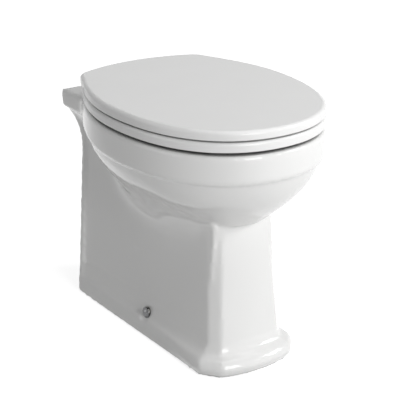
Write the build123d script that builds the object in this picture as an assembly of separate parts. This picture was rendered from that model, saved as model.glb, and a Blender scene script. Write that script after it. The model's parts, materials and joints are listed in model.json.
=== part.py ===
from build123d import *
import os

# Back-to-wall toilet pan with a hinged seat and lid. Millimetres, +Z up, front towards -Y,
# the wall plane on the +Y side. Distances named "reach" are measured out from the wall.

# Overall size
pan_depth = 512
rim_half_width = 177.5
rim_height = 414
wall_y = pan_depth / 2

# Plan of the rim, seat and lid
widest_reach = 273
oval_fullness = 0.63
corner_half_width = 123
corner_reach = 74
corner_lean = 0.40
flank_pull = 0.42
flank_end_pull = 0.30

# Rim band and shelf of the pan
band_height = 50
band_step = 6
rim_edge_round = 5
band_edge_round = 3
shelf_drop = 5
shelf_thickness = 34
shelf_edge_round = 4
shelf_foot_round = 7
shelf_blend_round = 60
rim_back_reach = 100
rim_lip_width = 46
rim_lip_thickness = 12
rim_lip_drop = 18
rim_wall = 16

# Bowl under the band
bowl_foot_height = 256
bowl_foot_half_width = 74
bowl_foot_reach = 424
bowl_back_reach = 62
bowl_foot_back_reach = 96
basin_back_reach = 118
basin_slope_back_reach = 140
bowl_curve_power = 1.7
bowl_shares = (0.0, 0.33, 0.66, 1.0)
basin_shares = (0.70, 0.40, 0.0)

# Pedestal, an eight sided foot that flares downwards
pedestal_top = 292
pedestal_base = 62
top_back_half_width = 86
top_side_half_width = 58
top_side_reach = 385
base_back_half_width = 97
base_side_half_width = 72
base_side_reach = 408
chamfer_across = 14
chamfer_along = 19
front_bulge = 5
panel_sink = 4
flange_strip = 13

# Plinth
plinth_face_height = 30
plinth_back_half_width = 103.5
plinth_side_half_width = 91
plinth_side_reach = 410
plinth_front_half_width = 67
plinth_front_reach = 440
plinth_bulge = 11
plinth_edge_round = 5
plinth_shoulder_inset = 5
plinth_cove_height = 43
plinth_cove_share = 0.66

# Cove under the shelf
console_reach = 190
cove_top_half_width = 112

# China walls and water passages
china_wall = 11
basin_lip_height = rim_height - rim_lip_thickness
sump_height = 190
sump_half_width = 42
sump_front_reach = 340
sump_back_reach = 190
throat_height = 256
throat_half_width = 54
throat_front_reach = 396
throat_back_reach = 158
trap_bore = 34
trap_height = 203
trap_start_reach = 285
trap_dip_reach = 205
weir_reach = 150
weir_height = 243
trap_bend = 50
trap_drop_reach = 100
spigot_radius = 51
spigot_bore = 40
spigot_height = 185
spigot_reach = 30
spigot_length = 52
inlet_radius = 38
inlet_bore = 27.5
inlet_height = 336
inlet_reach = 18
inlet_end_reach = 142

# Seat and lid
seat_gap = 5.5
seat_thickness = 17
seat_back_reach = 97
seat_edge_round = 6.5
seat_hole_half_width = 110
seat_hole_front_reach = 424
seat_hole_back_reach = 172
seat_hole_widest = 290
lid_gap = 2
lid_thickness = 18.5
lid_crown = 3
lid_wall = 6
lid_skin = 7
lid_edge_round = 7
lid_corner_round = 30
lid_foot_round = 2
lid_back_bulge = 27

# Hinges
hinge_rise = 35
hinge_reach = 77
hinge_spacing = 155
pin_radius = 4
pin_fit = 0.05
pin_overhang = 2
bush_wall = 1.2
knuckle_radius = 7
pillar_radius = 5.6
pillar_neck_radius = 4.8
pillar_boss_radius = 6.5
pillar_flange_radius = 18
pillar_flange_thickness = 4
gasket_thickness = 1.5
arm_width = 14
arm_thickness = 3.2
arm_side_gap = 8
arm_fit = 0.3
lid_arm_length = 42
seat_arm_length = 56
hinge_pocket_skin = 3.6
pocket_margin = 4
arm_screw_radius = 2
arm_screw_head_radius = 3.6
arm_screw_head = 2
seat_screw_reach = 9
lid_screw_reach = 2.2
arm_screw_inset = 7
arm_screw_pitch = 14
arm_leg = 7
arm_tip_round = 5

# Hinge fixings below the shelf
stud_radius = 4
stud_hole_radius = 8
stud_socket = 12
bush_flange_radius = 14
bush_flange_thickness = 3
bush_end_gap = 2
washer_radius = 13
washer_thickness = 2
nut_radius = 9
nut_thickness = 10
nut_wing_span = 17
nut_wing_thickness = 5
stud_tail = 6
fixing_fit = 0.3

# Buffers
seat_buffer_radius = 11
seat_buffer_stem_radius = 4
seat_buffer_stem = 6
buffer_fit = 0.3
lid_buffer_radius = 7
lid_buffer_height = 4
lid_boss_radius = 8.5
front_buffer_half_width = 92
front_buffer_reach = 448
back_buffer_half_width = 137
back_buffer_reach = 205

# Side fixings of the foot
side_screw_height = 44
side_screw_reach = 231
side_screw_radius = 3
side_hole_radius = 5.5
spot_face_radius = 15
spot_face_half_width = 88
cap_washer_radius = 10.5
cap_washer_thickness = 1.5
cap_radius = 9
cap_height = 5
bracket_width = 46
bracket_thickness = 3
bracket_foot = 42
bracket_height = 66
bracket_bend = 4
floor_hole_radius = 4.5
floor_hole_pitch = 24
floor_hole_inset = 17
screw_head_radius = 5.5
screw_head = 2.6
bracket_nut_thickness = 8
bracket_nut_radius = 7
screw_tail = 4

# Derived levels
band_bottom = rim_height - band_height
shelf_height = rim_height - shelf_drop
shelf_bottom = shelf_height - shelf_thickness
seat_bottom = rim_height + seat_gap
seat_top = seat_bottom + seat_thickness
lid_bottom = seat_top + lid_gap
lid_top = lid_bottom + lid_thickness
hinge_height = shelf_height + hinge_rise
hinge_y = wall_y - hinge_reach
pillar_x = hinge_spacing / 2
far = 4 * pan_depth

# Derived hinge places, for the right hand side
seat_arm_x = pillar_x - pillar_flange_radius - arm_side_gap - arm_width
lid_arm_x = pillar_x + pillar_boss_radius + arm_side_gap
seat_plate_top = seat_bottom + arm_fit + arm_thickness
lid_pocket_top = lid_top - hinge_pocket_skin - lid_crown / 2
lid_plate_low = lid_pocket_top - arm_fit - arm_thickness
lid_boss_foot = seat_top + lid_buffer_height
shelf_under = shelf_height - china_wall
nut_bottom = shelf_under - bush_flange_thickness - washer_thickness - nut_thickness


def y_at(reach):
    return wall_y - reach


def along_plate(arm_x, length, z):
    # Two screw places near the tip of each plate, on both sides
    places = []
    for step in (0, arm_screw_pitch):
        y = hinge_y - length + arm_screw_inset + step
        x = arm_x + arm_width / 2
        places = places + [(x, y, z), (-x, y, z)]
    return places


seat_screw_points = along_plate(seat_arm_x, seat_arm_length, seat_plate_top)
lid_screw_points = along_plate(lid_arm_x, lid_arm_length, lid_pocket_top)
buffer_points = []
for side in (-1, 1):
    buffer_points.append((side * front_buffer_half_width, y_at(front_buffer_reach)))
    buffer_points.append((side * back_buffer_half_width, y_at(back_buffer_reach)))


def save(shape, node):
    export_step(shape, "parts/" + node + ".step")


def mirrored(shape):
    return mirror(shape, about=Plane.YZ)


def pair(shape):
    return Compound(children=[Compound(shape.solids()), Compound(mirrored(shape).solids())])


def rod(radius, start, end):
    # Round bar between two points
    axis = Vector(*end) - Vector(*start)
    plane = Plane(origin=start, z_dir=axis)
    return extrude(plane * Circle(radius), axis.length)


def post(radius, z_low, z_high):
    # Upright round bar on the right hand pillar's axis
    return rod(radius, (pillar_x, hinge_y, z_low), (pillar_x, hinge_y, z_high))


def cross_bar(radius, x_low, x_high):
    # Level round bar on the hinge axis
    return rod(radius, (x_low, hinge_y, hinge_height), (x_high, hinge_y, hinge_height))


def side_bar(radius, x_start, x_end):
    # Level round bar on the side screws' axis
    y = y_at(side_screw_reach)
    return rod(radius, (x_start, y, side_screw_height), (x_end, y, side_screw_height))


def slab(x_low, x_high, y_low, y_high, z_low, z_high):
    size = Box(x_high - x_low, y_high - y_low, z_high - z_low)
    return Pos((x_low + x_high) / 2, (y_low + y_high) / 2, (z_low + z_high) / 2) * size


def closed_both_sides(right_edges, joint=None):
    # A plan outline from its right half, drawn from the front to the back
    left_edges = [mirror(edge, about=Plane.YZ) for edge in right_edges]
    edges = right_edges + left_edges
    if joint is not None:
        edges = edges + [joint]
    return make_face(edges)


def egg(half_width, front_reach, back_reach, z, middle=widest_reach):
    # Oval plan with full ends
    y_front = y_at(front_reach)
    y_back = y_at(back_reach)
    y_middle = y_at(middle)
    pull = oval_fullness
    front = Bezier(
        (0, y_front),
        (pull * half_width, y_front),
        (half_width, y_middle + pull * (y_front - y_middle)),
        (half_width, y_middle),
    )
    back = Bezier(
        (half_width, y_middle),
        (half_width, y_middle + pull * (y_back - y_middle)),
        (pull * half_width, y_back),
        (0, y_back),
    )
    return Pos(0, 0, z) * closed_both_sides([front, back])


def d_shape(inset, back_bulge=0):
    # Plan of the rim, seat and lid: an oval front and flanks that draw in to two back corners
    half_width = rim_half_width - inset
    y_front = y_at(pan_depth - inset)
    y_middle = y_at(widest_reach)
    y_corner = y_at(corner_reach + inset)
    corner = corner_half_width - inset
    length = y_corner - y_middle
    pull = oval_fullness
    front = Bezier(
        (0, y_front),
        (pull * half_width, y_front),
        (half_width, y_middle + pull * (y_front - y_middle)),
        (half_width, y_middle),
    )
    flank = Bezier(
        (half_width, y_middle),
        (half_width, y_middle + flank_pull * length),
        (corner + corner_lean * flank_end_pull * length, y_corner - flank_end_pull * length),
        (corner, y_corner),
    )
    if back_bulge > 0:
        back = ThreePointArc((corner, y_corner), (0, y_corner + back_bulge), (-corner, y_corner))
    else:
        back = Line((corner, y_corner), (-corner, y_corner))
    return closed_both_sides([front, flank], back)


def eight_sided(back, side, side_reach, front, front_reach, bulge, z, inset=0, back_reach=0):
    # Plan of the foot: square back, tapering sides, cut front corners and a bowed front
    points = [
        (back - inset, y_at(back_reach)),
        (side - inset, y_at(side_reach - inset / 2)),
        (front - inset / 2, y_at(front_reach - inset)),
    ]
    flank = Line(points[0], points[1])
    cut = Line(points[1], points[2])
    nose = ThreePointArc(points[2], (0, y_at(front_reach + bulge - inset)), (-points[2][0], points[2][1]))
    rear = Line((-points[0][0], points[0][1]), points[0])
    left = [mirror(edge, about=Plane.YZ) for edge in (flank, cut)]
    return Pos(0, 0, z) * make_face([flank, cut, nose, rear] + left)


def pedestal_flank(z, sink):
    # Half widths at the wall and at the front corner, and the corner's reach, by straight flare
    share = (z - pedestal_base) / (pedestal_top - pedestal_base)
    back = base_back_half_width + share * (top_back_half_width - base_back_half_width) - sink
    side = base_side_half_width + share * (top_side_half_width - base_side_half_width)
    reach = base_side_reach + share * (top_side_reach - base_side_reach)
    return back, side, reach


def foot_inside(z, reach):
    # Half width of the open space in the foot
    back, side, side_reach = pedestal_flank(z, panel_sink)
    return back + (side - back) * reach / side_reach - china_wall


def pedestal_plan(z, inset=0, sink=0):
    # Plan of the pedestal at a level
    back, side, reach = pedestal_flank(z, sink)
    front = side - chamfer_across
    front_reach = reach + chamfer_along
    return eight_sided(back, side, reach, front, front_reach, front_bulge, z, inset)


def plinth_plan(z, inset=0):
    return eight_sided(
        plinth_back_half_width,
        plinth_side_half_width,
        plinth_side_reach,
        plinth_front_half_width,
        plinth_front_reach,
        plinth_bulge,
        z,
        inset,
    )


def cove_plan(z, share):
    # A plan between the plinth shoulder and the pedestal base
    def between(low, high):
        return low + share * (high - low)

    inset = plinth_shoulder_inset
    return eight_sided(
        between(plinth_back_half_width - inset, base_back_half_width),
        between(plinth_side_half_width - inset, base_side_half_width),
        between(plinth_side_reach - inset / 2, base_side_reach),
        between(plinth_front_half_width - inset / 2, base_side_half_width - chamfer_across),
        between(plinth_front_reach - inset, base_side_reach + chamfer_along),
        between(plinth_bulge, front_bulge),
        z,
    )


def console_profile(foot, inset=0):
    # Section of the shelf and of the cove that carries it, seen from the front
    shelf_half_width = corner_half_width - shelf_edge_round - inset
    top = shelf_height - max(inset, shelf_edge_round)
    lip = shelf_bottom + inset / 2
    tip = (shelf_half_width, lip + shelf_foot_round)
    cove_end = (cove_top_half_width - inset, lip - shelf_edge_round)
    base = (foot - inset, pedestal_top)
    face = Line((shelf_half_width, top), tip)
    turn = Line(tip, cove_end)
    cove = TangentArc(base, cove_end, tangent=(0, 1))
    lid_line = Line((-shelf_half_width, top), (shelf_half_width, top))
    foot_line = Line(base, (-base[0], pedestal_top))
    left = [mirror(edge, about=Plane.YZ) for edge in (face, turn, cove)]
    return make_face([face, turn, cove, lid_line, foot_line] + left)


def console(front_reach, back_reach, inset=0, sink=0):
    # The cove's foot follows the taper of the pedestal
    sections = []
    for reach in (back_reach, front_reach):
        taper = (top_back_half_width - top_side_half_width) * reach / top_side_reach
        plane = Plane(origin=(0, y_at(reach), 0), x_dir=(1, 0, 0), z_dir=(0, -1, 0))
        sections.append(plane * console_profile(top_back_half_width - taper - sink, inset))
    return loft(sections, ruled=True)


def bowl_section(share, inset=0, back_top=bowl_back_reach, back_foot=bowl_foot_back_reach):
    # The bowl draws in as a power of the depth below the band
    shrink = share ** bowl_curve_power
    top_half_width = rim_half_width - band_step
    half_width = top_half_width + shrink * (bowl_foot_half_width - top_half_width)
    top_reach = pan_depth - band_step
    front = top_reach + shrink * (bowl_foot_reach - top_reach)
    back = back_top + shrink * (back_foot - back_top)
    z = band_bottom + band_edge_round + share * (bowl_foot_height - band_bottom)
    return egg(half_width - inset, front - inset, back, z)


def basin_form(grow):
    # Inside of the bowl from the sump to the underside of the rim lip, or its outside if grown
    wall = rim_wall - grow
    sections = [
        egg(
            sump_half_width + grow,
            sump_front_reach + grow,
            sump_back_reach - grow,
            sump_height - grow,
        ),
        egg(
            throat_half_width + grow,
            throat_front_reach + grow,
            throat_back_reach - grow,
            throat_height - grow,
        ),
    ]
    back_top = basin_back_reach - grow
    back_foot = basin_slope_back_reach - grow
    for share in basin_shares:
        sections.append(bowl_section(share, wall, back_top, back_foot))
    sections.append(egg(
        rim_half_width - band_step - wall,
        pan_depth - band_step - wall,
        back_top,
        basin_lip_height,
    ))
    return loft(sections)


def trap_path(start_reach):
    points = [
        (0, y_at(start_reach), trap_height),
        (0, y_at(trap_dip_reach), trap_height),
        (0, y_at(weir_reach), weir_height),
        (0, y_at(trap_drop_reach), spigot_height),
        (0, y_at(spigot_reach + spigot_length / 2), spigot_height),
    ]
    return FilletPolyline(*points, radius=trap_bend)


def trap_tube(radius, start_reach):
    plane = Plane(origin=(0, y_at(start_reach), trap_height), z_dir=(0, 1, 0))
    return sweep(plane * Circle(radius), path=trap_path(start_reach))


def make_pan():
    # Shelf and rim band
    band_plan = d_shape(0)
    shelf_plan = Rectangle(2 * corner_half_width, corner_reach + 1)
    shelf_plan = Pos(0, y_at((corner_reach + 1) / 2)) * shelf_plan
    top_plan = band_plan + shelf_plan
    waist = top_plan.vertices().sort_by(lambda v: abs(v.Y - y_at(corner_reach)))[:2]
    top_plan = fillet(waist, shelf_blend_round)
    deck = extrude(Pos(0, 0, band_bottom) * top_plan, shelf_height - band_bottom)
    over_shelf = slab(-far, far, y_at(rim_back_reach), far, -far, far)
    rim = extrude(Pos(0, 0, band_bottom) * band_plan, band_height)
    rim = fillet(rim.faces().sort_by(Axis.Z)[-1].edges().sort_by(Axis.Y)[:-1], rim_edge_round)
    rim = fillet(rim.faces().sort_by(Axis.Z)[0].edges().sort_by(Axis.Y)[:-1], band_edge_round)
    rim = rim - over_shelf
    band_back = deck & slab(-far, far, y_at(rim_back_reach), far, shelf_bottom, far)
    for level, radius in ((-1, shelf_edge_round), (0, shelf_foot_round)):
        edges = band_back.faces().sort_by(Axis.Z)[level].edges().sort_by(lambda e: abs(e.center().X))
        band_back = fillet(edges[2:], radius)

    # Outside of the foot and bowl
    panel = loft([pedestal_plan(z, sink=panel_sink) for z in (pedestal_base, pedestal_top)], ruled=True)
    strip_middle = y_at(flange_strip / 2)
    strip_foot = Pos(0, strip_middle, 0) * Rectangle(2 * plinth_back_half_width, flange_strip)
    strip_head = Pos(0, strip_middle, pedestal_top) * Rectangle(2 * top_back_half_width, flange_strip)
    strip = loft([strip_foot, strip_head], ruled=True)
    plinth = extrude(plinth_plan(0), plinth_face_height + plinth_edge_round)
    plinth = fillet(plinth.faces().sort_by(Axis.Z)[-1].edges(), plinth_edge_round)
    shoulder_low = plinth_face_height + plinth_edge_round - 1
    shoulder = loft([
        cove_plan(shoulder_low, 0),
        cove_plan(plinth_cove_height, plinth_cove_share),
        cove_plan(pedestal_base + 1, 1),
    ])
    bowl = loft([bowl_section(share) for share in bowl_shares])
    shelf_arm = console(console_reach, 0, sink=panel_sink) + console(flange_strip, 0)
    outside = panel + strip + plinth + shoulder + bowl + shelf_arm + band_back + rim

    # Open inside of the foot, its back and its underside
    foot_space = loft(
        [pedestal_plan(z, inset=china_wall, sink=panel_sink) for z in (-1, pedestal_top + 1)],
        ruled=True,
    )
    foot_space = foot_space + console(console_reach, -1, china_wall, panel_sink)
    foot_space = foot_space + extrude(Pos(0, 0, -1) * plinth_plan(0, 2 * china_wall), plinth_face_height)
    passages = basin_form(china_wall)
    passages = passages + trap_tube(trap_bore + china_wall, trap_start_reach + china_wall)
    spigot_end = (0, y_at(spigot_reach), spigot_height)
    spigot_start = (0, y_at(spigot_reach + spigot_length), spigot_height)
    passages = passages + rod(spigot_radius, spigot_start, spigot_end)
    inlet_start = (0, y_at(inlet_end_reach), inlet_height)
    passages = passages + rod(inlet_radius, inlet_start, (0, y_at(inlet_reach), inlet_height))
    pan = outside - (foot_space - passages)

    # Water ways
    pan = pan - basin_form(0)
    opening = egg(
        rim_half_width - rim_lip_width,
        pan_depth - rim_lip_width,
        rim_back_reach + rim_lip_width,
        basin_lip_height - 1,
    )
    lip_wall = egg(
        rim_half_width - rim_lip_width + china_wall,
        pan_depth - rim_lip_width + china_wall,
        rim_back_reach + rim_lip_width - china_wall,
        basin_lip_height - rim_lip_drop,
    )
    pan = pan + extrude(lip_wall, rim_lip_drop + 1)
    pan = pan - extrude(Pos(0, 0, -rim_lip_drop) * opening, rim_lip_drop + rim_lip_thickness + 2)
    pan = pan - trap_tube(trap_bore, trap_start_reach)
    pan = pan - rod(spigot_bore, spigot_start, (0, y_at(spigot_reach - 1), spigot_height))
    inlet_start = (0, y_at(inlet_end_reach + 1), inlet_height)
    pan = pan - rod(inlet_bore, inlet_start, (0, y_at(inlet_reach - 1), inlet_height))

    # Holes for the hinge studs and the side screws
    for side in (-1, 1):
        x = side * pillar_x
        pan = pan - rod(stud_hole_radius, (x, hinge_y, shelf_bottom - 2), (x, hinge_y, shelf_height + 1))
        face = side * spot_face_half_width
        pan = pan - side_bar(spot_face_radius, face, side * far)
        pan = pan - side_bar(side_hole_radius, 0.5 * face, side * far)
    return pan


def make_seat():
    # Ring with a rounded top, notched at the back for the hinges, pocketed for the hinge arms
    ring = extrude(Pos(0, 0, seat_bottom) * d_shape(0), seat_thickness)
    ring = fillet(ring.faces().sort_by(Axis.Z)[-1].edges().sort_by(Axis.Y)[:-1], seat_edge_round)
    ring = fillet(ring.faces().sort_by(Axis.Z)[0].edges().sort_by(Axis.Y)[:-1], lid_foot_round)
    hole = egg(
        seat_hole_half_width,
        seat_hole_front_reach,
        seat_hole_back_reach,
        seat_bottom - 1,
        seat_hole_widest,
    )
    ring = ring - extrude(hole, seat_thickness + 2)
    ring = fillet(ring.faces().sort_by(Axis.Z)[-1].inner_wires()[0].edges(), seat_edge_round)
    ring = ring - slab(-far, far, y_at(seat_back_reach), far, -far, far)
    for side in (-1, 1):
        low, high = sorted((side * (seat_arm_x - arm_fit), side * (seat_arm_x + arm_width + arm_fit)))
        pocket_front = y_at(hinge_reach + seat_arm_length + arm_fit)
        ring = ring - slab(low, high, pocket_front, far, seat_bottom - 1, seat_plate_top + arm_fit)
    for x, y, z in seat_screw_points:
        ring = ring - rod(arm_screw_radius + fixing_fit / 2, (x, y, z), (x, y, z + seat_screw_reach))
    for x, y in buffer_points:
        ring = ring - rod(
            seat_buffer_stem_radius + buffer_fit,
            (x, y, seat_bottom - 1),
            (x, y, seat_bottom + seat_buffer_stem + buffer_fit),
        )
    return ring


def make_lid():
    # Crowned shell with a turned down edge, open below, notched at the back for the hinges
    plan = d_shape(0, lid_back_bulge)
    plan = fillet(plan.vertices().sort_by(Axis.Y)[-2:], lid_corner_round)
    shell = extrude(Pos(0, 0, lid_bottom) * plan, lid_thickness)
    crown_radius = (pan_depth / 2) ** 2 / (2 * lid_crown)
    shell = shell & Pos(0, 0, lid_top - crown_radius) * Sphere(crown_radius)
    shell = fillet(shell.faces().sort_by(Axis.Z)[-1].edges(), lid_edge_round)
    shell = fillet(shell.faces().sort_by(Axis.Z)[0].edges(), lid_foot_round)
    inner = d_shape(lid_wall, lid_back_bulge)
    inner = fillet(inner.vertices().sort_by(Axis.Y)[-2:], lid_corner_round - lid_wall)
    shell = shell - extrude(Pos(0, 0, lid_bottom - 1) * inner, lid_thickness - lid_skin + 1)
    for x, y in buffer_points:
        boss = rod(lid_boss_radius, (x, y, lid_boss_foot), (x, y, lid_top - lid_skin + 1))
        shell = shell + boss
    for side in (-1, 1):
        near = seat_arm_x - pocket_margin
        away = lid_arm_x + arm_width + pocket_margin
        low, high = sorted((side * near, side * away))
        pocket_front = y_at(hinge_reach + lid_arm_length + pocket_margin)
        shell = shell - slab(low, high, pocket_front, far, lid_bottom - 1, lid_pocket_top)
    for x, y, z in lid_screw_points:
        shell = shell - rod(arm_screw_radius + fixing_fit / 2, (x, y, z), (x, y, z + lid_screw_reach))
    return shell


def hinge_arm(x, plate_low, plate_high, length):
    # Knuckle on the hinge pin, a leg up or down from it, and a plate forward along the moulding
    low = min(plate_low, hinge_height)
    high = max(plate_high, hinge_height)
    knuckle = cross_bar(knuckle_radius, x, x + arm_width)
    leg = slab(x, x + arm_width, hinge_y - arm_leg / 2, hinge_y + arm_leg / 2, low, high)
    plate = slab(x, x + arm_width, hinge_y - length, hinge_y + arm_leg / 2, plate_low, plate_high)
    tip_edges = plate.edges().filter_by(Axis.Z).sort_by(Axis.Y)[:2]
    plate = fillet(tip_edges, arm_tip_round)
    arm = knuckle + leg + plate
    bore = pin_radius + bush_wall + pin_fit
    return arm - cross_bar(bore, x - 1, x + arm_width + 1)


def arm_bush(x):
    # Plain bush between the pin and an arm
    outer = cross_bar(pin_radius + bush_wall, x, x + arm_width)
    return outer - cross_bar(pin_radius + pin_fit, x - 1, x + arm_width + 1)


def screw_holes(shape, points):
    for x, y, z in points:
        shape = shape - rod(arm_screw_radius + fixing_fit / 2, (x, y, z - far), (x, y, z + far))
    return shape


def arm_screw(x, y, face, reach):
    # Pan headed screw driven upwards from the face of a plate
    head = rod(arm_screw_head_radius, (x, y, face - arm_screw_head), (x, y, face))
    head = fillet(head.faces().sort_by(Axis.Z)[0].edges(), arm_screw_head / 2)
    return head + rod(arm_screw_radius, (x, y, face), (x, y, face + reach))


def make_pillar():
    # Turned pillar: flange, tapered stem and a ball end bored for the pin
    base = shelf_height + gasket_thickness
    profile = make_face(Polyline(
        (0, base),
        (pillar_flange_radius, base),
        (pillar_flange_radius, base + pillar_flange_thickness),
        (pillar_radius, base + 2 * pillar_flange_thickness),
        (pillar_neck_radius, hinge_height - pillar_boss_radius),
        (pillar_neck_radius, hinge_height),
        (0, hinge_height),
        (0, base),
    ))
    stem = revolve(Plane.XZ * profile, Axis.Z)
    stem = Pos(pillar_x, hinge_y, 0) * stem
    ball = Pos(pillar_x, hinge_y, hinge_height) * Sphere(pillar_boss_radius)
    pillar = stem + ball
    left = (pillar_x - pillar_flange_radius, hinge_y, hinge_height)
    right = (pillar_x + pillar_flange_radius, hinge_y, hinge_height)
    pillar = pillar - rod(pin_radius + pin_fit, left, right)
    socket_top = base + stud_socket
    return pillar - post(stud_radius + fixing_fit / 2, base - 1, socket_top)


def make_pin():
    # Hinge pin with a domed head at each end
    inner = seat_arm_x - pin_overhang
    outer = lid_arm_x + arm_width + pin_overhang
    pin = cross_bar(pin_radius, inner, outer)
    ends = pin.edges().filter_by(GeomType.CIRCLE)
    return fillet(ends, pin_radius / 4)


def make_gasket():
    ring = post(pillar_flange_radius, shelf_height, shelf_height + gasket_thickness)
    return ring - post(stud_radius + fixing_fit, 0, far)


def make_stud():
    top = shelf_height + gasket_thickness + stud_socket - fixing_fit
    return post(stud_radius, nut_bottom - stud_tail, top)


def make_stud_bush():
    # Stepped bush that centres the stud in the hole of the shelf
    flange = post(bush_flange_radius, shelf_under - bush_flange_thickness, shelf_under)
    sleeve = post(stud_hole_radius - fixing_fit, shelf_under, shelf_height - bush_end_gap)
    return flange + sleeve - post(stud_radius + fixing_fit, 0, far)


def make_stud_washer():
    top = shelf_under - bush_flange_thickness
    ring = post(washer_radius, top - washer_thickness, top)
    return ring - post(stud_radius + fixing_fit, 0, far)


def make_wing_nut():
    # Hub with two wings that swing clear of the skirt
    hub = post(nut_radius, nut_bottom, nut_bottom + nut_thickness)
    wings = Box(nut_wing_thickness, 2 * nut_wing_span, nut_thickness)
    tips = wings.edges().filter_by(Axis.X)
    wings = fillet(tips, nut_thickness / 3)
    nut = hub + Pos(pillar_x, hinge_y, nut_bottom + nut_thickness / 2) * wings
    return nut - post(stud_radius + fixing_fit / 2, 0, far)


def seat_buffer(x, y):
    # Mushroom pad under the seat, its stem pressed up into the moulding
    pad = rod(seat_buffer_radius, (x, y, rim_height + buffer_fit), (x, y, seat_bottom))
    pad = fillet(pad.faces().sort_by(Axis.Z)[0].edges(), seat_gap / 4)
    return pad + rod(seat_buffer_stem_radius, (x, y, seat_bottom), (x, y, seat_bottom + seat_buffer_stem))


def lid_buffer(x, y):
    pad = rod(lid_buffer_radius, (x, y, seat_top + buffer_fit), (x, y, lid_boss_foot))
    return fillet(pad.faces().sort_by(Axis.Z)[0].edges(), lid_gap / 4)


bracket_x = foot_inside(bracket_height, side_screw_reach + bracket_width / 2) - fixing_fit
floor_hole_x = bracket_x - bracket_foot + floor_hole_inset
sleeve_start = bracket_x + fixing_fit


def make_bracket():
    # Bent steel angle on the floor behind the foot's side wall
    x = bracket_x
    y = y_at(side_screw_reach)
    plate = slab(x - bracket_thickness, x, y - bracket_width / 2, y + bracket_width / 2, 0, bracket_height)
    foot = slab(x - bracket_foot, x, y - bracket_width / 2, y + bracket_width / 2, 0, bracket_thickness)
    angle = plate + foot
    outer = angle.edges().filter_by(Axis.Y).sort_by(lambda e: e.center().Z - e.center().X)[0]
    angle = fillet(outer, bracket_bend)
    rounded = angle.edges().filter_by(Axis.X).sort_by(Axis.Z)[-2:]
    angle = fillet(rounded, bracket_width / 4)
    angle = angle - side_bar(side_screw_radius + fixing_fit, 0, far)
    for shift in (-1, 1):
        hole_y = y + shift * floor_hole_pitch / 2
        angle = angle - rod(floor_hole_radius, (floor_hole_x, hole_y, -1), (floor_hole_x, hole_y, far))
    return angle


def make_bracket_nut():
    y = y_at(side_screw_reach)
    right = bracket_x - bracket_thickness
    start = (right - bracket_nut_thickness, y, side_screw_height)
    plane = Plane(origin=start, z_dir=(1, 0, 0))
    body = extrude(plane * RegularPolygon(bracket_nut_radius, 6), bracket_nut_thickness)
    return body - side_bar(side_screw_radius + fixing_fit / 2, 0, far)


def make_sleeve():
    # Plastic sleeve that keeps the side screw off the china
    y = y_at(side_screw_reach)
    outer = side_bar(side_hole_radius - fixing_fit, sleeve_start, spot_face_half_width)
    return outer - side_bar(side_screw_radius + fixing_fit, 0, far)


def make_cap_washer():
    y = y_at(side_screw_reach)
    ring = side_bar(cap_washer_radius, spot_face_half_width, spot_face_half_width + cap_washer_thickness)
    ring = fillet(ring.edges().filter_by(GeomType.CIRCLE).sort_by(Axis.X)[-1], cap_washer_thickness / 2)
    return ring - side_bar(side_screw_radius + fixing_fit, 0, far)


def make_side_screw():
    # Screw from the washer to the bracket nut, with a flat head that the cap covers
    y = y_at(side_screw_reach)
    seat_x = spot_face_half_width + cap_washer_thickness
    tail = bracket_x - bracket_thickness - bracket_nut_thickness - screw_tail
    shank = side_bar(side_screw_radius, tail, seat_x)
    return shank + side_bar(screw_head_radius, seat_x, seat_x + screw_head)


def make_cap():
    # Domed cover that snaps over the screw head
    y = y_at(side_screw_reach)
    z = side_screw_height
    seat_x = spot_face_half_width + cap_washer_thickness
    dome_radius = (cap_radius ** 2 + cap_height ** 2) / (2 * cap_height)
    stock = rod(dome_radius, (seat_x, y, z), (seat_x + dome_radius, y, z))
    ball = Rotation(0, 90, 0) * Sphere(dome_radius)
    dome = stock & Pos(seat_x + cap_height - dome_radius, y, z) * ball
    return dome - rod(
        screw_head_radius + fixing_fit,
        (seat_x - 1, y, z),
        (seat_x + screw_head + fixing_fit, y, z),
    )


def build_all():
    save(make_pan(), "pan")
    save(make_seat(), "seat_ring")
    save(make_lid(), "lid")
    save(Compound(children=[seat_buffer(x, y) for x, y in buffer_points]), "seat_buffers")
    save(Compound(children=[lid_buffer(x, y) for x, y in buffer_points]), "lid_buffers")

    seat_arm = hinge_arm(seat_arm_x, seat_plate_top - arm_thickness, seat_plate_top, seat_arm_length)
    lid_arm = hinge_arm(lid_arm_x, lid_plate_low, lid_plate_low + arm_thickness, lid_arm_length)
    handed = {
        "hinge_pillar": make_pillar(),
        "seat_hinge_arm": screw_holes(seat_arm, seat_screw_points),
        "lid_hinge_arm": screw_holes(lid_arm, lid_screw_points),
        "floor_bracket": make_bracket(),
    }
    for name, shape in handed.items():
        save(shape, name + "_right")
        save(mirrored(shape), name + "_left")

    pairs = {
        "hinge_pins": make_pin(),
        "seat_arm_bushes": arm_bush(seat_arm_x),
        "lid_arm_bushes": arm_bush(lid_arm_x),
        "pillar_gaskets": make_gasket(),
        "pillar_studs": make_stud(),
        "stud_bushes": make_stud_bush(),
        "stud_washers": make_stud_washer(),
        "stud_wing_nuts": make_wing_nut(),
        "side_sleeves": make_sleeve(),
        "side_screws": make_side_screw(),
        "bracket_nuts": make_bracket_nut(),
        "screw_cap_washers": make_cap_washer(),
        "screw_caps": make_cap(),
    }
    for name, shape in pairs.items():
        save(pair(shape), name)

    seat_face = seat_plate_top - arm_thickness
    grip = arm_thickness + seat_screw_reach - fixing_fit
    screws = [arm_screw(x, y, seat_face, grip) for x, y, z in seat_screw_points]
    save(Compound(children=screws), "seat_arm_screws")
    grip = arm_thickness + lid_screw_reach - fixing_fit
    screws = [arm_screw(x, y, lid_plate_low, grip) for x, y, z in lid_screw_points]
    save(Compound(children=screws), "lid_arm_screws")


os.makedirs("parts", exist_ok=True)
build_all()
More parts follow.
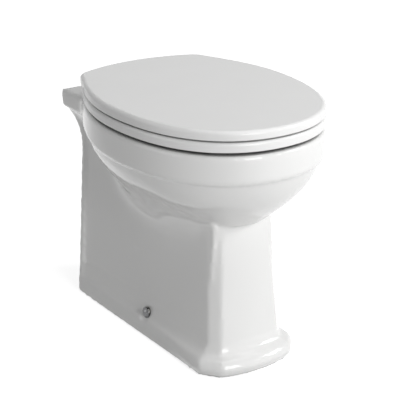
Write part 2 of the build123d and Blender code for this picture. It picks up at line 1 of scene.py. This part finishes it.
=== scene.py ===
import json
import math
import bpy
from mathutils import Euler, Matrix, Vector


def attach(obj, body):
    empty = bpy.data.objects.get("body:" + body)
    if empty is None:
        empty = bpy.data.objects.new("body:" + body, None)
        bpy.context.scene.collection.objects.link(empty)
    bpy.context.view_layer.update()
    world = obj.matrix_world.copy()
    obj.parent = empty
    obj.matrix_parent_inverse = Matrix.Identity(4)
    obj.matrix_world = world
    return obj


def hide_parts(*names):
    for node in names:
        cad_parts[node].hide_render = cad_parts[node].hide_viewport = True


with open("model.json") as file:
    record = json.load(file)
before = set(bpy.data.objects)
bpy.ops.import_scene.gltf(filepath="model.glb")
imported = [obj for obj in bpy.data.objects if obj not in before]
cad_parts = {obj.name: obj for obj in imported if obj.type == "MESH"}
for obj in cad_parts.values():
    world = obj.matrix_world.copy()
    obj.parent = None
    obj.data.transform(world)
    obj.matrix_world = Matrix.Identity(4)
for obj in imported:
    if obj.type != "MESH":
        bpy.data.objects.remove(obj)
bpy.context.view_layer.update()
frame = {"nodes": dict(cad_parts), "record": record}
nodes = frame["nodes"]
print("frame loaded,", len(nodes), "nodes")


class Value:  # one shader socket, so that shader maths reads as plain sums
    def __init__(self, finish, socket):
        self.finish = finish
        self.socket = socket

    def maths(self, operation, first, second):
        return self.finish.node("ShaderNodeMath", {"operation": operation}, {0: first, 1: second})

    def __add__(self, other):
        return self.maths("ADD", self, other)

    def __radd__(self, other):
        return self.maths("ADD", other, self)

    def __mul__(self, other):
        return self.maths("MULTIPLY", self, other)


class Finish:  # a material and the one way nodes are added to it
    def __init__(self, name):
        self.material = bpy.data.materials.new(name)
        self.material.use_nodes = True
        self.tree = self.material.node_tree
        self.shader = self.tree.nodes["Principled BSDF"]

    def node(self, kind, settings=None, inputs=None, output=0):
        made = self.tree.nodes.new(kind)
        for key, value in (settings or {}).items():
            setattr(made, key, value)
        self.feed(made, inputs or {})
        return Value(self, made.outputs[output])

    def feed(self, made, inputs):
        for key, value in inputs.items():
            if isinstance(value, Value):
                self.tree.links.new(value.socket, made.inputs[key])
            else:
                made.inputs[key].default_value = value

    def coords(self):
        return self.node("ShaderNodeTexCoord", output="Object")

    def noise(self, scale, detail):
        spot = {"Vector": self.coords(), "Scale": scale, "Detail": detail}
        return self.node("ShaderNodeTexNoise", {}, spot)

    def blend(self, share, first, second):
        spot = {0: share, 6: first, 7: second}
        return self.node("ShaderNodeMix", {"data_type": "RGBA"}, spot, output=2)

    def span(self, value, low, high):
        spot = {"Value": value, "From Min": low, "From Max": high}
        return self.node("ShaderNodeMapRange", {}, spot)

    def paintGapShade(self, tone):  # painted shade: the base colour is darkened where ambient occlusion finds narrow gaps
        settings = {"samples": paintedGapShade["samples"]}
        spot = {"Distance": paintedGapShade["depth"]}
        free = self.node("ShaderNodeAmbientOcclusion", settings, spot, output="AO")
        return self.blend(self.span(free, *paintedGapShade["free"]), paintedGapShade["paintedShade"], tone)

    def bump(self, height, distance):
        spot = {"Height": height, "Distance": distance, "Strength": 1.0}
        return self.node("ShaderNodeBump", {}, spot)

    def set(self, **inputs):
        self.feed(self.shader, {key.replace("_", " "): value for key, value in inputs.items()})


# reach, samples and colour of the painted gap shade
paintedGapShade = {
    "depth": 0.012,
    "samples": 8,
    "free": (0.2, 0.6),
    "paintedShade": (0.15, 0.15, 0.147, 1),
}
china = {
    "pale": (0.86, 0.86, 0.85, 1),
    "deep": (0.82, 0.82, 0.815, 1),
    "cloud": (7, 3),  # scale and detail of the noise
    "roughness": 0.06,
    "roughnessDrift": 0.05,
    "ripple": (26, 2),
    "rippleHeight": 0.00016,
    "coat": 0.05,
    "coatRoughness": 0.03,
    "shine": 0.4,
}


def glazedChina():
    finish = Finish("glazedChina")
    cloud = finish.noise(*china["cloud"])
    ripple = finish.noise(*china["ripple"])
    finish.set(
        # base colour carries painted shade in the gaps
        Base_Color=finish.paintGapShade(finish.blend(cloud, china["deep"], china["pale"])),
        Roughness=china["roughness"] + cloud * china["roughnessDrift"],
        Coat_Weight=china["coat"],
        Coat_Roughness=china["coatRoughness"],
        Specular_IOR_Level=china["shine"],
        Normal=finish.bump(ripple, china["rippleHeight"]),
    )
    return finish.material


moulding = {
    "pale": (0.87, 0.87, 0.865, 1),
    "deep": (0.84, 0.84, 0.835, 1),
    "cloud": (9, 2),
    "roughness": 0.2,
    "roughnessDrift": 0.06,
    "shine": 0.35,
    "grain": (420, 2),
    "grainHeight": 0.00001,
}


def seatMoulding():
    finish = Finish("seatMoulding")
    cloud = finish.noise(*moulding["cloud"])
    grain = finish.noise(*moulding["grain"])
    finish.set(
        # base colour carries painted shade in the gaps
        Base_Color=finish.paintGapShade(finish.blend(cloud, moulding["deep"], moulding["pale"])),
        Roughness=moulding["roughness"] + cloud * moulding["roughnessDrift"],
        Specular_IOR_Level=moulding["shine"],
        Normal=finish.bump(grain, moulding["grainHeight"]),
    )
    return finish.material


# painted dark reflection: the plating's colour is held far darker than real chrome
chrome = {
    "deep": (0.12, 0.122, 0.125, 1),
    "pale": (0.19, 0.193, 0.197, 1),
    "haze": (160, 3),
    "roughness": 0.06,
    "roughnessDrift": 0.08,
}


def chromePlate():
    finish = Finish("chromePlate")
    haze = finish.noise(*chrome["haze"])
    # tone carries the painted dark reflection
    tone = finish.blend(haze, chrome["deep"], chrome["pale"])
    rough = chrome["roughness"] + haze * chrome["roughnessDrift"]
    finish.set(Base_Color=tone, Metallic=1.0, Roughness=rough)
    return finish.material


rubber = {
    "deep": (0.60, 0.60, 0.59, 1),
    "pale": (0.70, 0.70, 0.69, 1),
    "grain": (900, 3),
    "grainHeight": 0.00004,
    "roughness": 0.55,
    "roughnessDrift": 0.2,
}


def paleRubber():
    finish = Finish("paleRubber")
    grain = finish.noise(*rubber["grain"])
    tone = finish.blend(grain, rubber["deep"], rubber["pale"])
    rough = rubber["roughness"] + grain * rubber["roughnessDrift"]
    finish.set(Base_Color=tone, Roughness=rough, Normal=finish.bump(grain, rubber["grainHeight"]))
    return finish.material


nylon = {
    "deep": (0.66, 0.65, 0.62, 1),
    "pale": (0.74, 0.73, 0.70, 1),
    "grain": (600, 2),
    "grainHeight": 0.00003,
    "roughness": 0.38,
    "roughnessDrift": 0.15,
}


def nylonMoulding():
    finish = Finish("nylonMoulding")
    grain = finish.noise(*nylon["grain"])
    tone = finish.blend(grain, nylon["deep"], nylon["pale"])
    rough = nylon["roughness"] + grain * nylon["roughnessDrift"]
    finish.set(Base_Color=tone, Roughness=rough, Normal=finish.bump(grain, nylon["grainHeight"]))
    return finish.material


zinc = {
    "deep": (0.42, 0.43, 0.44, 1),
    "pale": (0.56, 0.57, 0.59, 1),
    "spangle": (240, 4),
    "roughness": 0.28,
    "roughnessDrift": 0.2,
}


def zincSteel():
    finish = Finish("zincSteel")
    spangle = finish.noise(*zinc["spangle"])
    tone = finish.blend(spangle, zinc["deep"], zinc["pale"])
    rough = zinc["roughness"] + spangle * zinc["roughnessDrift"]
    finish.set(Base_Color=tone, Metallic=1.0, Roughness=rough)
    return finish.material


finishes = {
    "china": glazedChina(),
    "seat_moulding": seatMoulding(),
    "hinge_chrome": chromePlate(),
    "buffer_rubber": paleRubber(),
    "nylon": nylonMoulding(),
    "plain_steel": zincSteel(),
}
for part in frame["record"]["subparts"]:
    piece = nodes[part["node"]]
    piece.data.materials.clear()
    piece.data.materials.append(finishes[part["material_slot"]])
print("finishes given to the frame")


def ramp(value, low, high):
    share = min(1.0, max(0.0, (value - low) / (high - low)))
    return share * share * (3 - 2 * share)


def applyAs(piece, kind, **settings):
    modifier = piece.modifiers.new(kind.lower(), kind)
    for key, value in settings.items():
        setattr(modifier, key, value)
    bpy.ops.object.modifier_apply(modifier=modifier.name)


bowl = {
    "rim": 0.367,
    "drop": 0.108,
    "foot": 0.259,
    "middle": 0.273,
    "front": 0.506,
    "back": 0.062,
    "half": 0.1715,
    "frontShrink": 0.082,
    "backShrink": 0.034,
    "halfShrink": 0.0975,
    "curve": 1.7,
    "ovalPull": 1.89,
    "halvings": 14,
    "slopeStep": 0.002,
    "slopeLeast": 0.7,
}


def ovalShare(along):  # half width of the bowl's oval plan at a share of its half length
    pull = bowl["ovalPull"]
    low, high = 0.0, 1.0
    for step in range(bowl["halvings"]):
        t = (low + high) / 2
        reached = (1 - t) ** 3 + 3 * t * (1 - t) ** 2 + pull * (1 - t) * t * t
        low, high = (t, high) if reached > along else (low, t)
    return pull * t * (1 - t) ** 2 + 3 * (1 - t) * t * t + t ** 3


def bowlLevel(reach, z):
    shrink = max(0.0, (bowl["rim"] - z) / bowl["drop"]) ** bowl["curve"]
    end = bowl["back"] + bowl["backShrink"] * shrink
    if reach > bowl["middle"]:
        end = bowl["front"] - bowl["frontShrink"] * shrink
    along = min(1.0, (reach - bowl["middle"]) / (end - bowl["middle"]))
    return (bowl["half"] - bowl["halfShrink"] * shrink) * ovalShare(along)


def bowlHalf(reach, z):  # below its foot the bowl's side runs on straight
    low, step = bowl["foot"], bowl["slopeStep"]
    if z > low:
        return bowlLevel(reach, z)
    slope = (bowlLevel(reach, low + step) - bowlLevel(reach, low)) / step
    return bowlLevel(reach, low) - max(bowl["slopeLeast"], slope) * (low - z)


foot = {
    "low": 0.062,
    "high": 0.292,
    "rise": 0.23,
    "back": 0.093,
    "backTaper": 0.011,
    "side": 0.072,
    "sideTaper": 0.014,
    "reach": 0.408,
    "reachTaper": 0.023,
}


def footHalf(reach, z):
    rise = (min(z, foot["high"]) - foot["low"]) / foot["rise"]
    back = foot["back"] - foot["backTaper"] * rise
    side = foot["side"] - foot["sideTaper"] * rise
    return back + (side - back) * reach / (foot["reach"] - foot["reachTaper"] * rise)


cove = {
    "half": 0.112,
    "rise": 0.079,
    "end": (0.08, 0.30),
}


def coveGrow(half, z):  # how far the cove under the shelf stands out from the foot
    if z < foot["high"]:
        return 0.0
    run = cove["half"] - half
    bend = (run * run + cove["rise"] ** 2) / (2 * run)
    return bend - math.sqrt(bend * bend - (z - foot["high"]) ** 2)


web = {
    "reach": (0.03, 0.405),
    "height": (0.16, 0.3625),
    "cells": (120, 64),
    "depth": 0.006,
    "sink": 0.0012,
    "sinkEnd": 0.0025,
    "blend": 0.09,
    "blendLeast": 0.018,
    "blendBack": (0.06, 0.24),
    "blendFront": (0.27, 0.405),
    "blendTop": (0.340, 0.3625),
}


def webHalf(reach, z):  # the bowl runs into the side of the foot in one long curve
    curved = bowlHalf(reach, z)
    flat = footHalf(reach, z)
    flat = flat + coveGrow(flat, z) * (1 - ramp(reach, *cove["end"]))
    width = web["blend"] * (1 - ramp(reach, *web["blendFront"])) + web["blendLeast"]
    near = max(0.0, 1 - abs(curved - flat) / width)
    grow = near * near * width / 4 * (1 - ramp(z, *web["blendTop"]))
    grow = grow * ramp(reach, *web["blendBack"])
    sink = web["sink"] * (1 - ramp(grow, 0.0, web["sinkEnd"]))  # thin ends lie under the china
    return max(curved, flat) + grow - sink


def makeWeb(side):
    bpy.ops.object.select_all(action="DESELECT")
    across, up = web["cells"]
    bpy.ops.mesh.primitive_grid_add(x_subdivisions=across, y_subdivisions=up, size=1)
    piece = bpy.context.object
    near, away = web["reach"]
    low, high = web["height"]
    for vertex in piece.data.vertices:
        reach = near + (vertex.co.x + 0.5) * (away - near)
        z = low + (vertex.co.y + 0.5) * (high - low)
        vertex.co = (side * webHalf(reach, z), softPan["wall"] - reach, z)
    bpy.ops.object.mode_set(mode="EDIT")
    bpy.ops.mesh.select_all(action="SELECT")
    if side > 0:
        bpy.ops.mesh.flip_normals()
    bpy.ops.object.mode_set(mode="OBJECT")
    applyAs(piece, "SOLIDIFY", thickness=web["depth"], offset=-1)
    return piece


roll = {
    "depth": 0.011,
    "reach": (0.30, 0.41),
    "height": (0.001, 0.018, 0.041),
    "centre": -0.06,
    "lengthways": 1.6,
    "flatLeast": 0.05,
}


def rollPlinth(piece):  # the front of the plinth swells into a half round
    low, middle, high = roll["height"]
    places = [(vertex.index, vertex.co.copy(), vertex.normal.copy()) for vertex in piece.data.vertices]
    for index, place, normal in places:
        outward = Vector((place.x, roll["lengthways"] * (place.y - roll["centre"]), 0))
        flat = Vector((normal.x, normal.y, 0))
        if low < place.z < high and flat.dot(outward) > 0 and flat.length > roll["flatLeast"]:
            share = ramp(place.z, low, middle) * (1 - ramp(place.z, middle, high))
            share = share * ramp(softPan["wall"] - place.y, *roll["reach"])
            piece.data.vertices[index].co = place + outward.normalized() * share * roll["depth"]


ease = {
    "steps": 220,
    "across": (0.052, 0.060),
    "back": (0.03, 0.07),
    "front": (0.34, 0.375),
    "low": (0.17, 0.20),
    "high": (0.335, 0.353),
}


def easeSides(piece):  # the blend under the bowl is worn smooth once more
    zone = piece.vertex_groups.new(name="easeZone")
    for vertex in piece.data.vertices:
        across, reach, z = abs(vertex.co.x), softPan["wall"] - vertex.co.y, vertex.co.z
        share = ramp(across, *ease["across"]) * ramp(reach, *ease["back"])
        share = share * (1 - ramp(reach, *ease["front"]))
        share = share * ramp(z, *ease["low"]) * (1 - ramp(z, *ease["high"]))
        if share > 0:
            zone.add([vertex.index], share, "REPLACE")
    applyAs(piece, "SMOOTH", factor=softPan["softShare"], iterations=ease["steps"], vertex_group="easeZone")


softPan = {
    "voxel": 0.0031,
    "turn": (0.5, 0.4, 0.7),
    "weld": 0.00002,
    "softShare": 0.5,
    "softSteps": 13,
    "most": 190000,
    "wall": 0.256,
}


def makeSoftPan():  # the cast body with the glaze drawn round its edges
    bpy.ops.object.select_all(action="DESELECT")
    piece = bpy.data.objects.new("panGlaze", nodes["pan"].data.copy())
    bpy.context.collection.objects.link(piece)
    piece.data.transform(nodes["pan"].matrix_world)
    piece.select_set(True)
    bpy.context.view_layer.objects.active = piece
    bpy.ops.object.mode_set(mode="EDIT")
    bpy.ops.mesh.select_all(action="SELECT")
    bpy.ops.mesh.remove_doubles(threshold=softPan["weld"])
    bpy.ops.object.mode_set(mode="OBJECT")
    webs = [makeWeb(-1), makeWeb(1)]
    bpy.ops.object.select_all(action="DESELECT")
    for part in webs + [piece]:
        part.select_set(True)
    bpy.context.view_layer.objects.active = piece
    bpy.ops.object.join()
    turn = Euler(softPan["turn"]).to_matrix().to_4x4()  # no face lies along the remesh grid
    piece.data.transform(turn)
    applyAs(piece, "REMESH", mode="VOXEL", voxel_size=softPan["voxel"])
    piece.data.transform(turn.inverted())
    piece.data.update()
    rollPlinth(piece)
    applyAs(piece, "SMOOTH", factor=softPan["softShare"], iterations=softPan["softSteps"])
    easeSides(piece)
    piece.data.calc_loop_triangles()
    applyAs(piece, "DECIMATE", ratio=min(1.0, softPan["most"] / len(piece.data.loop_triangles)))
    bpy.ops.object.shade_smooth()
    piece.data.materials.clear()
    piece.data.materials.append(finishes["china"])
    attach(piece, "pan_body")
    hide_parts("pan")
    piece.data.calc_loop_triangles()
    print("pan glaze made,", len(piece.data.loop_triangles), "triangles")


makeSoftPan()

stage = {
    "floorSize": 30,
    "floorDrop": 0.0005,
    "nearGlow": (0.8, 0.8, 0.8, 1),
    "farGlow": (1, 1, 1, 1),
    "glowReach": (0.8, 2.6),
    "floorColour": (0.62, 0.62, 0.62, 1),
    "roomLight": 0.04,
    "aim": (0, 0, 0.22),
}
lamps = [
    {"name": "keyLamp", "place": (2.55, -1.85, 2.0), "size": 0.9, "power": 47},
    {"name": "windowLamp", "place": (1.37, -2.2, 1.5), "size": 0.2, "power": 1.2},
    {"name": "frontLamp", "place": (-0.1, -3.0, 1.2), "size": 1.4, "power": 49},
    {"name": "topLamp", "place": (0.2, -0.3, 2.6), "size": 2.2, "power": 19},
    {"name": "leftLamp", "place": (-2.6, 0.6, 1.3), "size": 2.0, "power": 12.5},
]


def aimLamp(name, place, size, power):
    lamp = bpy.data.lights.new(name, "AREA")
    lamp.shape = "SQUARE"
    lamp.size = size
    lamp.energy = power
    lampObject = bpy.data.objects.new(name, lamp)
    bpy.context.collection.objects.link(lampObject)
    lampObject.location = place
    line = Vector(stage["aim"]) - Vector(place)
    lampObject.rotation_euler = line.to_track_quat("-Z", "Y").to_euler()


def seenRay(finish):  # camera, mirror and glass rays see the white backdrop
    path = "ShaderNodeLightPath"
    camera = finish.node(path, output="Is Camera Ray")
    mirror = finish.node(path, output="Is Glossy Ray")
    glass = finish.node(path, output="Is Transmission Ray")
    return camera + mirror + glass


def makeFloor():
    bpy.ops.object.select_all(action="DESELECT")
    bpy.ops.mesh.primitive_plane_add(size=stage["floorSize"], location=(0, 0, -stage["floorDrop"]))
    floor = bpy.context.object
    floor.name = "floor"
    finish = Finish("paleFloor")
    base = finish.node("ShaderNodeBsdfDiffuse", {}, {"Color": stage["floorColour"]})
    length = {"operation": "LENGTH"}
    away = finish.node("ShaderNodeVectorMath", length, {0: finish.coords()}, output="Value")
    far = finish.span(away, *stage["glowReach"])
    tone = finish.blend(far, stage["nearGlow"], stage["farGlow"])
    glow = finish.node("ShaderNodeEmission", {}, {"Color": tone, "Strength": 1.0})
    lit = finish.node("ShaderNodeAddShader", {}, {0: base, 1: glow})
    mixed = finish.node("ShaderNodeMixShader", {}, {0: seenRay(finish), 1: base, 2: lit})
    finish.tree.links.new(mixed.socket, finish.tree.nodes["Material Output"].inputs["Surface"])
    floor.data.materials.append(finish.material)


def makeRoom():
    world = bpy.data.worlds.new("whiteRoom")
    world.use_nodes = True
    bpy.context.scene.world = world
    tree = world.node_tree
    room = tree.nodes["Background"]
    room.inputs["Color"].default_value = (1, 1, 1, 1)
    path = tree.nodes.new("ShaderNodeLightPath")
    rays = path.outputs["Is Camera Ray"]
    for kind in ("Is Glossy Ray", "Is Transmission Ray"):
        both = tree.nodes.new("ShaderNodeMath")
        tree.links.new(rays, both.inputs[0])
        tree.links.new(path.outputs[kind], both.inputs[1])
        rays = both.outputs[0]
    seen = tree.nodes.new("ShaderNodeMapRange")
    seen.inputs["To Min"].default_value = stage["roomLight"]
    seen.inputs["To Max"].default_value = 1.0
    tree.links.new(rays, seen.inputs["Value"])
    tree.links.new(seen.outputs["Result"], room.inputs["Strength"])


view = {
    "place": (-1.144, -1.778, 1.072),
    "azimuth": -33,
    "elevation": 21.27,
    "lens": 116.7,
    "sensor": 36,
}


def makeCamera():
    camera = bpy.data.cameras.new("camera")
    camera.lens = view["lens"]
    camera.sensor_width = view["sensor"]
    cameraObject = bpy.data.objects.new("camera", camera)
    bpy.context.collection.objects.link(cameraObject)
    cameraObject.location = view["place"]
    tilt = math.radians(90 - view["elevation"])
    cameraObject.rotation_euler = (tilt, 0, math.radians(view["azimuth"]))
    bpy.context.scene.camera = cameraObject


makeFloor()
makeRoom()
for lamp in lamps:
    aimLamp(**lamp)
makeCamera()
bpy.context.scene.view_settings.view_transform = "Standard"
print("stage, lamps and camera made")
